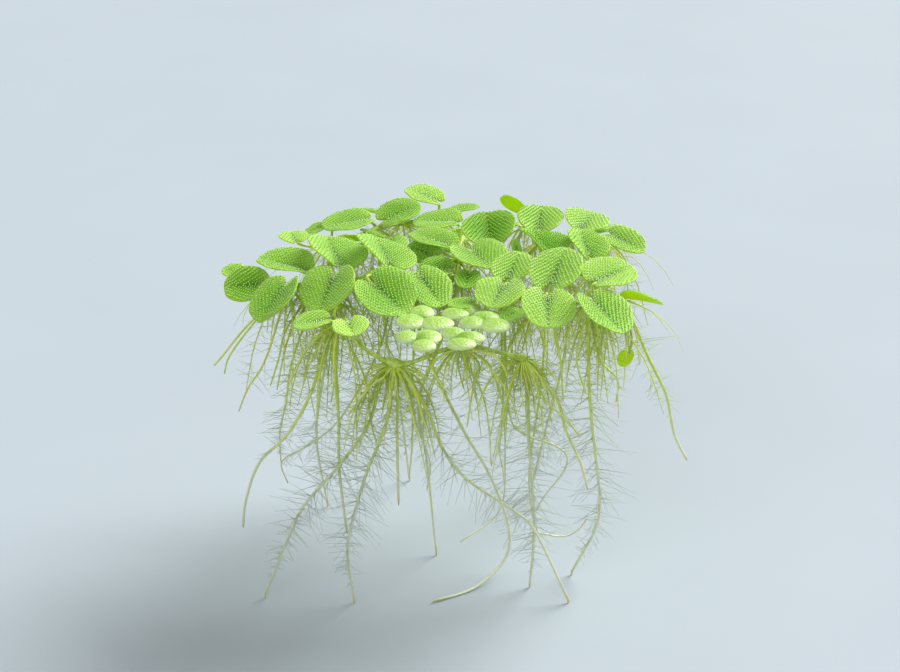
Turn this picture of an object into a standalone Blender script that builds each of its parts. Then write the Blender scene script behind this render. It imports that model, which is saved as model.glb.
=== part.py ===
"""A clump of floating water fern, taken out of the water as it floats and standing on its root tips.

Metres, +Z up. The tables are in millimetres and degrees: x runs to the right, y to the back, and heights
are measured from the waterline, where the runners float. The origin is the middle of the clump's base.
"""

import math
from collections import namedtuple

import bmesh
import bpy
from mathutils import Euler, Matrix, Vector

MM = 0.001

# Driving dimensions, in millimetres
ROOT_REACH = 66.0  # from the waterline down to the tips that the clump stands on
CLUMP_CENTRE = (5.0, 1.5)  # the middle of the clump's box, in the tables' x and y
RUNNER_RADIUS = 0.55
STALK_WIDTH = 0.9
BLADE_THICKNESS = 0.45
ROOT_RADIUS = 0.42
ROOT_TIP_RADIUS = 0.3
JOIN_GAP = 0.5  # between a runner and what grows from it
TOE_LENGTH = 0.9  # the upright end of a root that stands on the surface

# Shares of a leaf's own length or width
NOTCH = 0.16  # how far the heart-shaped base is cut in
NOTCH_WIDTH = 0.2  # in half widths of the blade
MIDRIB_BASE = 0.075
MIDRIB_TIP = 0.04
TIP_EASE = 0.75  # how much of the fold is gone at the tip
DROOP = 0.05  # how far the tip bends down
CURL = 0.42  # how far a half levels out towards its margin

# Colours, as linear red, green and blue
LEAF_GREEN = (0.23, 0.50, 0.04)
FROND_GREEN = (0.38, 0.60, 0.12)
RUNNER_GREEN = (0.28, 0.40, 0.05)
ROOT_OLIVE = (0.36, 0.42, 0.12)

# Each runner's whorls in order, where leaves and roots grow: x, y, height and the radius of the swelling
RUNNERS = {
    "runner_front_left": [
        (-31, -8, 1, 1.2),
        (-24.5, -5, 0.8, 1.1),
        (-20.6, -6, 1.5, 1.3),
        (-9.3, -5.8, 2, 1.3),
        (-4.2, -3.8, 0.4, 1.1),
        (5, -1, 0, 1.2),
    ],
    "runner_front_right": [
        (37, -14, 1, 1.2),
        (31.2, -17, 1.5, 1.3),
        (22.8, -15.9, 1.5, 1.3),
        (14.4, -10.2, 1, 1.2),
        (14, 0, 0, 1.2),
    ],
    "runner_middle": [
        (33, 0, 0, 1.2),
        (24, 3, 0, 1.2),
        (12.5, 9, 1, 1.3),
        (4.5, 8, 0, 1.2),
        (5.5, 20, 0, 1.2),
    ],
    "runner_back_right": [(37, 16, 1, 1.1), (30, 17, 1, 1.3), (22.4, 15, 1, 1.2), (20, 28, 0, 1.1)],
    "runner_back_left": [(-24, 15.5, 0, 1.3), (-13.5, 23, 1, 1.3), (-8, 29, 0, 1.1), (-1, 31, 0, 1.2)],
    "runner_low_front": [
        (-21, -10, -2, 1.0),
        (-20, -21, -1.5, 1.5),
        (-8.5, -26, -8, 1.9),
        (5, -25, -4.5, 0.9),
        (17.5, -22.5, -8.5, 1.8),
    ],
}

Leaf = namedtuple("Leaf", "runner whorl base heading pitch roll length width fold")

# base is where the blade meets its stalk. heading is the way that the midrib points, from +X towards +Y,
# pitch lifts the tip, roll lowers the blade's right side, and fold is the angle that each half is raised by.
LEAVES = {
    "leaf_01": Leaf("runner_front_left", 0, (-35.9, -10.4, 2.4), -176, 0, -28, 10, 9.3, 28),
    "leaf_02": Leaf("runner_front_left", 0, (-30.5, -14.5, 4.5), -125, -20, 14, 13.2, 10.8, 34),
    "leaf_03": Leaf("runner_front_left", 1, (-28, -5.8, 3.4), 163, 14, 0, 12, 11.7, 36),
    "leaf_04": Leaf("runner_front_left", 2, (-21, -9, 4.3), -111, -22, 9, 12.8, 12.3, 33),
    "leaf_05": Leaf("runner_front_left", 2, (-20.3, -4.4, 4), 114, 19, 16, 12.8, 13.4, 36),
    "leaf_06": Leaf("runner_front_left", 3, (-9.8, -5.3, 4.4), 115, 17, 24, 13.2, 13.8, 33),
    "leaf_07": Leaf("runner_front_left", 3, (-13.6, -14, 4.7), -43, -21, 8, 12.5, 13.8, 31),
    "leaf_08": Leaf("runner_front_left", 4, (-3.9, -6.6, 3.1), -57, -20, 4, 11.8, 9.8, 26),
    "leaf_09": Leaf("runner_front_left", 5, (2.8, -2, 2.1), 175, 2, -6, 8.6, 8.6, 24),
    "leaf_10": Leaf("runner_middle", 3, (2.6, 8, 3), 150, 12, 0, 11.5, 9, 34),
    "leaf_11": Leaf("runner_middle", 3, (7, 5.1, 3.4), -62, 2, -2, 11.8, 12.6, 35),
    "leaf_12": Leaf("runner_front_right", 3, (14.8, -8.7, 2.7), 70, 21, -1, 10.9, 8.7, 33),
    "leaf_13": Leaf("runner_front_right", 3, (14.1, -12.5, 3.5), -111, -10, 2, 9.7, 10.7, 29),
    "leaf_14": Leaf("runner_front_right", 2, (23.3, -14.7, 4.1), 69, 25, 0, 13.5, 11.1, 29),
    "leaf_15": Leaf("runner_front_right", 2, (22.4, -19.1, 4.1), -87, -18, -6, 11.1, 11.3, 30),
    "leaf_16": Leaf("runner_front_right", 1, (32.6, -14.2, 4.6), 38, 10, 8, 12, 11.4, 32),
    "leaf_17": Leaf("runner_front_right", 1, (31.2, -20.4, 3.7), -51, -16, -10, 12.8, 12.6, 33),
    "leaf_18": Leaf("runner_front_right", 0, (38.8, -14.9, 1.6), -6, -4, -24, 9.3, 6.6, 40),
    "leaf_19": Leaf("runner_front_left", 5, (6.9, -3.2, 2), -100, -10, 0, 6.5, 5.8, 20),
    "leaf_20": Leaf("runner_middle", 1, (23.9, 5.9, 2.5), 114, 15, 16, 11.1, 11.2, 41),
    "leaf_21": Leaf("runner_back_right", 2, (22.4, 17.6, 3), 83, 21, 1, 10.3, 10.3, 31),
    "leaf_22": Leaf("runner_back_right", 1, (31.7, 17.3, 3.2), 66, 11, 10, 9.9, 10.2, 34),
    "leaf_23": Leaf("runner_middle", 0, (32.6, 3.3, 2.5), 104, 21, 14, 11.7, 9.4, 41),
    "leaf_24": Leaf("runner_back_right", 0, (38, 14.5, 3), -35, -8, 10, 10.3, 8, 32),
    "leaf_25": Leaf("runner_back_right", 3, (18.7, 29.3, 2.8), -135, 58, 38, 6.8, 4.8, 18),
    "leaf_26": Leaf("runner_back_left", 3, (3, 30.4, 2.2), 8, 12, -4, 8, 4.8, 22),
    "leaf_27": Leaf("runner_back_left", 3, (-0.2, 33.5, 3.3), 155, 18, 0, 9.5, 9, 26),
    "leaf_28": Leaf("runner_middle", 4, (4, 21.5, 3), 165, 0, 0, 11.5, 11.5, 26),
    "leaf_29": Leaf("runner_middle", 2, (11.8, 10.5, 3), 92, 24, -10, 12, 12, 34),
    "leaf_30": Leaf("runner_back_left", 1, (-11.7, 23.2, 2.8), 27, 21, 4, 10.8, 10.1, 29),
    "leaf_31": Leaf("runner_back_left", 2, (-12.2, 31.2, 1), 165, 10, 20, 7.4, 5.4, 28),
    "leaf_32": Leaf("runner_back_left", 1, (-15.8, 23, 3), -165, 0, 0, 12, 11, 28),
    "leaf_33": Leaf("runner_low_front", 1, (-22.3, -24.1, 0.7), -177, -4, -4, 7.9, 7.2, 27),
    "leaf_34": Leaf("runner_low_front", 1, (-17.7, -25.9, 1.3), -73, -6, 3, 6, 7.5, 31),
}

Frond = namedtuple("Frond", "x y heading length width")

# Duckweed: the fronds of each plant, grown together at their edges and lying on the waterline
DUCKWEED = {
    "duckweed_1": [
        Frond(-5.2, -23.2, 80, 6.2, 5.2),
        Frond(-3, -18.9, 90, 5.8, 4.4),
        Frond(0.2, -24.1, 0, 7, 4.8),
    ],
    "duckweed_2": [
        Frond(-5.8, -30.4, 10, 4.8, 4.2),
        Frond(-1.6, -30.4, 30, 5.6, 5),
        Frond(-2.4, -34.4, 0, 5, 4),
    ],
    "duckweed_3": [
        Frond(3.5, -28.7, -20, 4.8, 3.8),
        Frond(6.8, -30.6, -10, 6, 3.9),
        Frond(5, -33.6, 0, 6, 3.8),
    ],
    "duckweed_4": [
        Frond(7.4, -23.8, 80, 5, 4.6),
        Frond(10.2, -21, 30, 5.6, 4.8),
        Frond(11.8, -25, -15, 6.6, 5),
    ],
    "duckweed_5": [
        Frond(3.9, -19.6, -5, 5.8, 3.8),
        Frond(6.9, -17.8, 20, 4.2, 3),
    ],
}
FROND_THICKNESS = 0.9

Root = namedtuple("Root", "runner whorl route")

# The route's points after the whorl: x, y and height. A last height of -ROOT_REACH stands on the surface.
ROOTS = {
    "root_01": Root(
        "runner_low_front",
        2,
        [
            (-11.5, -27, -12.5), (-14, -26, -22), (-20, -25.5, -31.5), (-28, -25, -42),
            (-32, -24.5, -51), (-37.3, -24, -66),
        ],
    ),
    "root_02": Root(
        "runner_low_front",
        2,
        [
            (-9.2, -28.8, -13), (-10.6, -27.5, -22), (-14.7, -26.5, -33.5),
            (-18.4, -26.5, -47.5), (-19, -26, -55), (-18, -26, -66),
        ],
    ),
    "root_03": Root(
        "runner_low_front",
        1,
        [
            (-23.3, -20.7, -8.5), (-26, -21.7, -17), (-31, -21.5, -26.5), (-37.5, -21, -34),
            (-40.8, -20.5, -43.5), (-41.8, -20, -50.5),
        ],
    ),
    "root_04": Root(
        "runner_low_front",
        1,
        [
            (-20.8, -24.6, -7.5), (-20.3, -24, -20), (-20.4, -24, -34), (-19.2, -24, -49.5),
        ],
    ),
    "root_05": Root(
        "runner_low_front",
        2,
        [
            (-8, -23.2, -13), (-8.2, -24, -26), (-8.1, -24, -42.5),
        ],
    ),
    "root_06": Root(
        "runner_low_front",
        2,
        [
            (-5.3, -27, -12), (-1.5, -27, -19), (1, -27, -26.5), (6, -26.6, -34.5),
            (17, -26.5, -43), (21, -26.3, -48), (28.3, -26, -66),
        ],
    ),
    "root_07": Root(
        "runner_front_right",
        0,
        [
            (40.5, -13.5, -4), (44.4, -13, -13), (48.6, -12.6, -22), (51, -12.2, -32),
            (54.1, -12, -38.5),
        ],
    ),
    "root_08": Root(
        "runner_front_right",
        1,
        [
            (31.5, -18, -10.5), (32.1, -17.6, -21), (34.5, -16.7, -39.5), (35.2, -16.3, -47.5),
            (34.2, -16, -54), (29.7, -15, -66),
        ],
    ),
    "root_09": Root(
        "runner_low_front",
        4,
        [
            (18.8, -21.6, -13.5), (19.3, -21.5, -28), (20.8, -20.7, -47), (20.8, -20.3, -56),
            (20.2, -20, -66),
        ],
    ),
    "root_10": Root(
        "runner_low_front",
        4,
        [
            (20.8, -24, -11.5), (25, -23, -18), (27, -22.4, -25.5), (30.3, -22, -33.5),
            (32, -22, -40),
        ],
    ),
    "root_11": Root(
        "runner_front_left",
        5,
        [
            (1, -2, -14), (-4, -2.5, -29), (-2.3, -3.5, -44), (-0.3, -7, -66),
        ],
    ),
    "root_12": Root(
        "runner_front_left",
        4,
        [
            (-3.2, -7, -12), (4.9, -10, -30.5), (11.5, -11.6, -42.5), (15.5, -13, -54),
            (15, -15, -61.5), (8, -21, -65.4), (-1, -26, -65.5),
        ],
    ),
    "root_13": Root(
        "runner_back_left",
        0,
        [
            (-25, 15, -24), (-28, 14, -46), (-26, 14, -66),
        ],
    ),
    "root_14": Root(
        "runner_back_left",
        1,
        [
            (-12, 22, -24), (-9, 24, -44), (-7, 26, -66),
        ],
    ),
    "root_15": Root(
        "runner_back_right",
        1,
        [
            (29, 17, -26), (25, 18, -48), (22, 20, -66),
        ],
    ),
}


def clear_scene():
    for old in list(bpy.data.objects):
        bpy.data.objects.remove(old)


def make_material(name, colour, roughness):
    material = bpy.data.materials.new(name)
    material.use_nodes = True
    shader = material.node_tree.nodes["Principled BSDF"]
    shader.inputs["Base Color"].default_value = (*colour, 1.0)
    shader.inputs["Roughness"].default_value = roughness
    shader.inputs["Metallic"].default_value = 0.0
    return material


def add_object(name, data, material, collection, parent):
    """A named object in the clump's collection, under the empty at the waterline."""
    made = bpy.data.objects.new(name, data)
    made.data.materials.append(material)
    collection.objects.link(made)
    made.parent = parent
    return made


def smooth_route(points, steps):
    """Points on a smooth curve through these points, steps to each stretch."""
    padded = [2 * points[0] - points[1], *points, 2 * points[-1] - points[-2]]
    route = []
    for before, start, end, after in zip(padded, padded[1:], padded[2:], padded[3:]):
        for step in range(steps):
            t = step / steps
            route.append(
                0.5
                * (
                    2 * start
                    + (end - before) * t
                    + (2 * before - 5 * start + 4 * end - after) * t**2
                    + (3 * start - before - 3 * end + after) * t**3
                )
            )
    return [*route, points[-1]]


def tube_curve(name, points, radii, sides):
    """A round tube of varying radius along the points, with closed ends."""
    curve = bpy.data.curves.new(name, "CURVE")
    curve.dimensions = "3D"
    curve.bevel_depth = 1.0 * MM
    curve.bevel_resolution = (sides - 4) // 2
    curve.use_fill_caps = True
    spline = curve.splines.new("POLY")
    spline.points.add(len(points) - 1)
    for target, point, radius in zip(spline.points, points, radii):
        target.co = (*(point * MM), 1.0)
        target.radius = radius
    return curve


def foot_at_whorl(runner, whorl, towards):
    """Where something that grows from a whorl towards a point starts, just off the swelling."""
    *place, radius = RUNNERS[runner][whorl]
    place = Vector(place)
    return place + (towards - place).normalized() * (radius + JOIN_GAP)


def runner_curve(name):
    """The floating stem, swollen at each whorl."""
    steps = 4
    points = smooth_route([Vector(whorl[:3]) for whorl in RUNNERS[name]], steps)
    radii = [RUNNER_RADIUS if i % steps else RUNNERS[name][i // steps][3] for i in range(len(points))]
    # A rounded end past the first and the last whorl
    for end, inner, place in ((0, 1, 0), (-1, -2, len(points) + 1)):
        tip = points[end] + (points[end] - points[inner]).normalized() * 0.7 * radii[end]
        points.insert(place, tip)
        radii.insert(place, 0.5 * radii[end])
    return tube_curve(name, points, radii, 6)


def leaf_turn(leaf):
    return Euler([math.radians(a) for a in (leaf.pitch, leaf.roll, leaf.heading - 90)])


def blade_point(u, v, leaf):
    """Where the square's point (u, v), each from -1 to 1, lies on the folded heart-shaped blade."""
    x = u * math.sqrt(1 - v * v / 2)
    y = v * math.sqrt(1 - u * u / 2)
    cut = NOTCH * max(0.0, -y) ** 2 * math.exp(-((x / NOTCH_WIDTH) ** 2))
    along = (y + 1) / 2
    # Each half is steep beside the midrib and levels out towards its margin, less so on a leaf folded more
    curl = min(CURL, max(0.08, CURL - 0.03 * (leaf.fold - 30)))
    out = math.sqrt(x * x + 0.01) - 0.1
    fold = math.tan(math.radians(leaf.fold)) * (1 - TIP_EASE * along)
    rise = leaf.width / 2 * fold * (out - curl * out * out) - DROOP * leaf.length * along * along
    return Vector((x * leaf.width / 2, (along + cut - NOTCH) * leaf.length, rise))


def leaf_mesh(name, leaf):
    """The open surface of a blade and its stalk, with the blade's base at the mesh's origin."""
    cells = 5
    beside_midrib = 1 / cells
    bm = bmesh.new()
    bmesh.ops.create_grid(bm, x_segments=cells, y_segments=cells, size=1.0)
    middle_of_base = Vector((0, -1, 0))
    base_edge = min(bm.edges, key=lambda e: (e.verts[0].co + e.verts[1].co - 2 * middle_of_base).length)
    for vert in bm.verts:
        u, v = vert.co.x, vert.co.y
        if abs(abs(u) - beside_midrib) < 1e-4:
            u = math.copysign(MIDRIB_BASE + (MIDRIB_TIP - MIDRIB_BASE) * (v + 1) / 2, u)
        vert.co = blade_point(u, v, leaf)
    add_stalk(bm, base_edge, leaf)
    bmesh.ops.scale(bm, verts=bm.verts, vec=(MM, MM, MM))
    mesh = bpy.data.meshes.new(name)
    bm.to_mesh(mesh)
    bm.free()
    return mesh


def add_stalk(bm, base_edge, leaf):
    """Extrudes the blade's base edge into a flat stalk that ends just off its whorl."""
    place = Matrix.Translation(leaf.base) @ leaf_turn(leaf).to_matrix().to_4x4()
    whorl = Vector(RUNNERS[leaf.runner][leaf.whorl][:3])
    start = (base_edge.verts[0].co + base_edge.verts[1].co) / 2
    bend = start + Vector((0, -0.35, 0)) * (place.inverted() @ whorl - start).length
    foot = place.inverted() @ foot_at_whorl(leaf.runner, leaf.whorl, place @ bend)
    edge = base_edge
    for share in (0.35, 0.7, 1.0):
        middle = start * (1 - share) ** 2 + bend * 2 * share * (1 - share) + foot * share**2
        before = (edge.verts[0].co + edge.verts[1].co) / 2
        made = bmesh.ops.extrude_edge_only(bm, edges=[edge])["geom"]
        edge = next(g for g in made if isinstance(g, bmesh.types.BMEdge))
        for vert in edge.verts:
            side = math.copysign(STALK_WIDTH / 2 * (1 - 0.5 * share), vert.co.x - before.x)
            vert.co = middle + Vector((side, 0, 0))


def add_leaf(name, leaf, material, collection, parent):
    """A leaf blade with its stalk, folded along the midrib and given its thickness."""
    made = add_object(name, leaf_mesh(name, leaf), material, collection, parent)
    made.location = Vector(leaf.base) * MM
    made.rotation_euler = leaf_turn(leaf)
    thickness = made.modifiers.new("thickness", "SOLIDIFY")
    thickness.thickness = BLADE_THICKNESS * MM
    thickness.offset = 0.0
    made.data.shade_smooth()
    return made


def frond_object(frond):
    """One duckweed frond: a low lens that floats on the waterline."""
    bpy.ops.mesh.primitive_uv_sphere_add(segments=8, ring_count=4, radius=1.0)
    made = bpy.context.object
    size = Vector((frond.length / 2, frond.width / 2, FROND_THICKNESS / 2)) * MM
    turn = Matrix.Rotation(math.radians(frond.heading), 4, "Z")
    made.data.transform(turn @ Matrix.Diagonal((*size, 1.0)))
    made.data.transform(Matrix.Translation(Vector((frond.x, frond.y, 0)) * MM))
    return made


def add_duckweed(name, fronds, material, collection, cutters, parent):
    """A duckweed plant: its fronds joined where they overlap."""
    first, *others = [frond_object(frond) for frond in fronds]
    made = add_object(name, first.data.copy(), material, collection, parent)
    bpy.data.objects.remove(first)
    for other in others:
        for holder in list(other.users_collection):
            holder.objects.unlink(other)
        cutters.objects.link(other)
        other.name = name + "_joined"
        other.parent = parent
        other.hide_render = True
        other.display_type = "WIRE"
        union = made.modifiers.new("join", "BOOLEAN")
        union.operation = "UNION"
        union.object = other
    return made


def root_points(root):
    """The strand's centreline, from just under its whorl to its tip."""
    route = [Vector(point) for point in root.route]
    start = foot_at_whorl(root.runner, root.whorl, route[0])
    stands = route[-1].z <= -ROOT_REACH
    if stands:
        route[-1].z += TOE_LENGTH
    points = smooth_route([start, *route], 2)
    if stands:
        points.append(points[-1] - Vector((0, 0, TOE_LENGTH)))
    return points


def root_curve(name, root):
    points = root_points(root)
    last = len(points) - 1
    radii = [ROOT_RADIUS + (ROOT_TIP_RADIUS - ROOT_RADIUS) * i / last for i in range(len(points))]
    return tube_curve(name, points, radii, 6)


def main():
    clear_scene()
    clump = bpy.data.collections.new("water_fern_clump")
    cutters = bpy.data.collections.new("joined_fronds")
    bpy.context.scene.collection.children.link(clump)
    bpy.context.scene.collection.children.link(cutters)
    waterline = bpy.data.objects.new("waterline", None)
    waterline.location = Vector((-CLUMP_CENTRE[0], -CLUMP_CENTRE[1], ROOT_REACH)) * MM
    clump.objects.link(waterline)

    leaf_green = make_material("leaf", LEAF_GREEN, 0.55)
    frond_green = make_material("duckweed", FROND_GREEN, 0.4)
    runner_green = make_material("runner", RUNNER_GREEN, 0.5)
    root_olive = make_material("root", ROOT_OLIVE, 0.5)

    for name in RUNNERS:
        add_object(name, runner_curve(name), runner_green, clump, waterline)
    for name, leaf in LEAVES.items():
        add_leaf(name, leaf, leaf_green, clump, waterline)
    for name, fronds in DUCKWEED.items():
        add_duckweed(name, fronds, frond_green, clump, cutters, waterline)
    for name, root in ROOTS.items():
        add_object(name, root_curve(name, root), root_olive, clump, waterline)


main()
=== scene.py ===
"""The looks of a clump of floating water fern, standing on its root tips on a pale floor.

The tables are in millimetres and degrees, as in the part's source: x runs to the right, y to the back, and
heights are measured from the level that the runners float at.
"""

import math
import random
from collections import namedtuple

import bmesh
import bpy
from mathutils import Euler, Matrix, Vector


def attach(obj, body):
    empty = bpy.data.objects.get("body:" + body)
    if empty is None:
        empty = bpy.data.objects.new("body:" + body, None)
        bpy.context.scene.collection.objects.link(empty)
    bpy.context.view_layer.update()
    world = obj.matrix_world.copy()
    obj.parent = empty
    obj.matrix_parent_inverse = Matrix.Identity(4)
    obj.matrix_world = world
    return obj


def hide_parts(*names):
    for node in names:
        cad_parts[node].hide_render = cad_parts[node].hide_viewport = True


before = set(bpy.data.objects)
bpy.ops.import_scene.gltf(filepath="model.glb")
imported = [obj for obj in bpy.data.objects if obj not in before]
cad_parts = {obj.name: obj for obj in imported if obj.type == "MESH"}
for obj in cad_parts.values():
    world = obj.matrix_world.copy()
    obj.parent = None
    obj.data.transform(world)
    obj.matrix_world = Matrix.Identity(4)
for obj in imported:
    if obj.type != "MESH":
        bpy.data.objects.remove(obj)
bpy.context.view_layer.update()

MM = 0.001
ORIGIN = Vector((-5.0, -1.5, 66.0))  # where the tables' origin is in the row frame
ROOT_REACH = 66.0  # from the runners' level down to the tips that the clump stands on
TOE_LENGTH = 0.9  # the upright end of a root that stands on the surface

# Each runner's whorls in order, where leaves and roots grow: x, y, height and the radius of the swelling
RUNNERS = {
    "runner_front_left": [
        (-31, -8, 1, 1.2), (-24.5, -5, 0.8, 1.1), (-20.6, -6, 1.5, 1.3), (-9.3, -5.8, 2, 1.3),
        (-4.2, -3.8, 0.4, 1.1), (5, -1, 0, 1.2),
    ],
    "runner_front_right": [
        (37, -14, 1, 1.2), (31.2, -17, 1.5, 1.3), (22.8, -15.9, 1.5, 1.3), (14.4, -10.2, 1, 1.2),
        (14, 0, 0, 1.2),
    ],
    "runner_middle": [
        (33, 0, 0, 1.2), (24, 3, 0, 1.2), (12.5, 9, 1, 1.3), (4.5, 8, 0, 1.2), (5.5, 20, 0, 1.2),
    ],
    "runner_back_right": [(37, 16, 1, 1.1), (30, 17, 1, 1.3), (22.4, 15, 1, 1.2), (20, 28, 0, 1.1)],
    "runner_back_left": [(-24, 15.5, 0, 1.3), (-13.5, 23, 1, 1.3), (-8, 29, 0, 1.1), (-1, 31, 0, 1.2)],
    "runner_low_front": [
        (-21, -10, -2, 1.0), (-20, -21, -1.5, 1.5), (-8.5, -26, -8, 1.9), (5, -25, -4.5, 0.9),
        (17.5, -22.5, -8.5, 1.8),
    ],
}

Leaf = namedtuple("Leaf", "runner whorl base heading pitch roll length width fold")

# base is where the blade meets its stalk. heading is the way that the midrib points, from +X towards +Y,
# pitch lifts the tip, roll lowers the blade's right side, and fold is the angle that each half is raised by.
LEAVES = {
    "leaf_01": Leaf("runner_front_left", 0, (-35.9, -10.4, 2.4), -176, 0, -28, 10, 9.3, 28),
    "leaf_02": Leaf("runner_front_left", 0, (-30.5, -14.5, 4.5), -125, -20, 14, 13.2, 10.8, 34),
    "leaf_03": Leaf("runner_front_left", 1, (-28, -5.8, 3.4), 163, 14, 0, 12, 11.7, 36),
    "leaf_04": Leaf("runner_front_left", 2, (-21, -9, 4.3), -111, -22, 9, 12.8, 12.3, 33),
    "leaf_05": Leaf("runner_front_left", 2, (-20.3, -4.4, 4), 114, 19, 16, 12.8, 13.4, 36),
    "leaf_06": Leaf("runner_front_left", 3, (-9.8, -5.3, 4.4), 115, 17, 24, 13.2, 13.8, 33),
    "leaf_07": Leaf("runner_front_left", 3, (-13.6, -14, 4.7), -43, -21, 8, 12.5, 13.8, 31),
    "leaf_08": Leaf("runner_front_left", 4, (-3.9, -6.6, 3.1), -57, -20, 4, 11.8, 9.8, 26),
    "leaf_09": Leaf("runner_front_left", 5, (2.8, -2, 2.1), 175, 2, -6, 8.6, 8.6, 24),
    "leaf_10": Leaf("runner_middle", 3, (2.6, 8, 3), 150, 12, 0, 11.5, 9, 34),
    "leaf_11": Leaf("runner_middle", 3, (7, 5.1, 3.4), -62, 2, -2, 11.8, 12.6, 35),
    "leaf_12": Leaf("runner_front_right", 3, (14.8, -8.7, 2.7), 70, 21, -1, 10.9, 8.7, 33),
    "leaf_13": Leaf("runner_front_right", 3, (14.1, -12.5, 3.5), -111, -10, 2, 9.7, 10.7, 29),
    "leaf_14": Leaf("runner_front_right", 2, (23.3, -14.7, 4.1), 69, 25, 0, 13.5, 11.1, 29),
    "leaf_15": Leaf("runner_front_right", 2, (22.4, -19.1, 4.1), -87, -18, -6, 11.1, 11.3, 30),
    "leaf_16": Leaf("runner_front_right", 1, (32.6, -14.2, 4.6), 38, 10, 8, 12, 11.4, 32),
    "leaf_17": Leaf("runner_front_right", 1, (31.2, -20.4, 3.7), -51, -16, -10, 12.8, 12.6, 33),
    "leaf_18": Leaf("runner_front_right", 0, (38.8, -14.9, 1.6), -6, -4, -24, 9.3, 6.6, 40),
    "leaf_19": Leaf("runner_front_left", 5, (6.9, -3.2, 2), -100, -10, 0, 6.5, 5.8, 20),
    "leaf_20": Leaf("runner_middle", 1, (23.9, 5.9, 2.5), 114, 15, 16, 11.1, 11.2, 41),
    "leaf_21": Leaf("runner_back_right", 2, (22.4, 17.6, 3), 83, 21, 1, 10.3, 10.3, 31),
    "leaf_22": Leaf("runner_back_right", 1, (31.7, 17.3, 3.2), 66, 11, 10, 9.9, 10.2, 34),
    "leaf_23": Leaf("runner_middle", 0, (32.6, 3.3, 2.5), 104, 21, 14, 11.7, 9.4, 41),
    "leaf_24": Leaf("runner_back_right", 0, (38, 14.5, 3), -35, -8, 10, 10.3, 8, 32),
    "leaf_25": Leaf("runner_back_right", 3, (18.7, 29.3, 2.8), -135, 58, 38, 6.8, 4.8, 18),
    "leaf_26": Leaf("runner_back_left", 3, (3, 30.4, 2.2), 8, 12, -4, 8, 4.8, 22),
    "leaf_27": Leaf("runner_back_left", 3, (-0.2, 33.5, 3.3), 155, 18, 0, 9.5, 9, 26),
    "leaf_28": Leaf("runner_middle", 4, (4, 21.5, 3), 165, 0, 0, 11.5, 11.5, 26),
    "leaf_29": Leaf("runner_middle", 2, (11.8, 10.5, 3), 92, 24, -10, 12, 12, 34),
    "leaf_30": Leaf("runner_back_left", 1, (-11.7, 23.2, 2.8), 27, 21, 4, 10.8, 10.1, 29),
    "leaf_31": Leaf("runner_back_left", 2, (-12.2, 31.2, 1), 165, 10, 20, 7.4, 5.4, 28),
    "leaf_32": Leaf("runner_back_left", 1, (-15.8, 23, 3), -165, 0, 0, 12, 11, 28),
    "leaf_33": Leaf("runner_low_front", 1, (-22.3, -24.1, 0.7), -177, -4, -4, 7.9, 7.2, 27),
    "leaf_34": Leaf("runner_low_front", 1, (-17.7, -25.9, 1.3), -73, -6, 3, 6, 7.5, 31),
}

# Young leaves and buds between the large leaves, which have no solid of their own
YOUNG_LEAVES = {
    "young_01": Leaf("runner_front_left", 0, (-41.4, -0.6, 0.9), 165, 6, -10, 5.4, 5, 15),
    "young_02": Leaf("runner_middle", 3, (-0.5, 6.5, 1.6), 138, 2, -38, 10, 6, 10),
    "young_03": Leaf("runner_middle", 2, (17.5, 8.3, 1.2), 120, 62, 0, 4.2, 2.4, 30),
    "young_04": Leaf("runner_back_right", 1, (36, 19.6, 1.6), 27, 6, -12, 8, 5, 20),
    "young_05": Leaf("runner_middle", 0, (34.6, -2.5, 1), 20, -6, 0, 6, 4.5, 20),
    "young_06": Leaf("runner_middle", 4, (2.8, 15.8, 1.2), 63, 40, 30, 5, 2.6, 25),
    "young_07": Leaf("runner_back_right", 3, (17.8, 25, 1.2), 164, 24, 0, 4.6, 2.4, 25),
    "young_08": Leaf("runner_back_left", 1, (-12.5, 17.6, 1.5), 149, 8, 20, 6.4, 4.4, 20),
    "young_09": Leaf("runner_back_left", 0, (-25.4, 22.6, 2), -160, -16, 0, 5.6, 4.6, 20),
    "young_10": Leaf("runner_back_left", 0, (-31, 15.3, 1.2), 110, 4, 0, 7, 6.6, 22),
    "young_11": Leaf("runner_back_left", 0, (-15, 10.6, 3.6), 165, 2, 40, 8.2, 4.2, 20),
    "young_12": Leaf("runner_front_left", 1, (-33.8, 6.6, 1), 150, 0, 0, 6, 5, 20),
    "young_13": Leaf("runner_front_left", 3, (-12.5, -8.9, 3), -176, 0, -50, 4, 3.2, 30),
    "young_14": Leaf("runner_front_right", 3, (16.6, -20.2, 0.9), -148, -8, 0, 6, 5, 16),
    "young_15": Leaf("runner_low_front", 3, (7.3, -16.1, 0.8), 180, 2, 0, 6, 5.2, 12),
    "young_16": Leaf("runner_front_right", 0, (40.2, -14, -11.5), 110, -72, 12, 4.6, 3.8, 34),
    "young_17": Leaf("runner_back_left", 0, (-21.4, 12.6, 0.8), -20, 0, 0, 8, 7.4, 20),
    "young_18": Leaf("runner_back_left", 1, (-10.4, 18.2, 0.8), -82, 0, 0, 7.6, 7.2, 20),
    "young_19": Leaf("runner_middle", 3, (1.4, 10.8, 0.7), 118, 0, 0, 7.4, 6.8, 20),
}

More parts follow.
